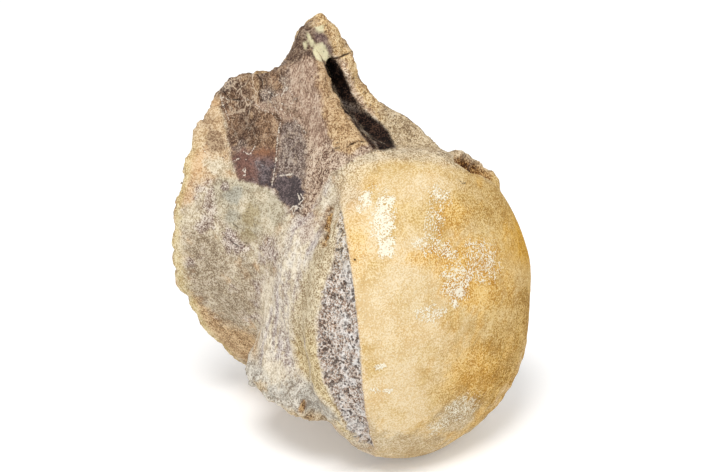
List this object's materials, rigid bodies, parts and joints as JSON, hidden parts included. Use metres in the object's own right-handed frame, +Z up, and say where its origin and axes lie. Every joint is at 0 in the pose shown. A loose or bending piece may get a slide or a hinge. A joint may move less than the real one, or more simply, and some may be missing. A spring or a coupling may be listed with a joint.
{
  "type": "fossil mosasaur vertebra",
  "caption": "Fossil mosasaur vertebra with a domed ochre rear joint face, a hollow front face and a broken neural arch.",
  "frame": {"origin": "centre of the bounding box's bottom face, on the surface that the bone rests on", "axes": "+X across the animal, +Y along the backbone towards the hollow front face, +Z up through the neural arch"},
  "size_m": [0.0736, 0.077, 0.1076],
  "materials": {
    "fossil_bone": "matte"
  },
  "bodies": {
    "root": {"vertebra": "fossil_bone"}
  },
  "joints": []
}
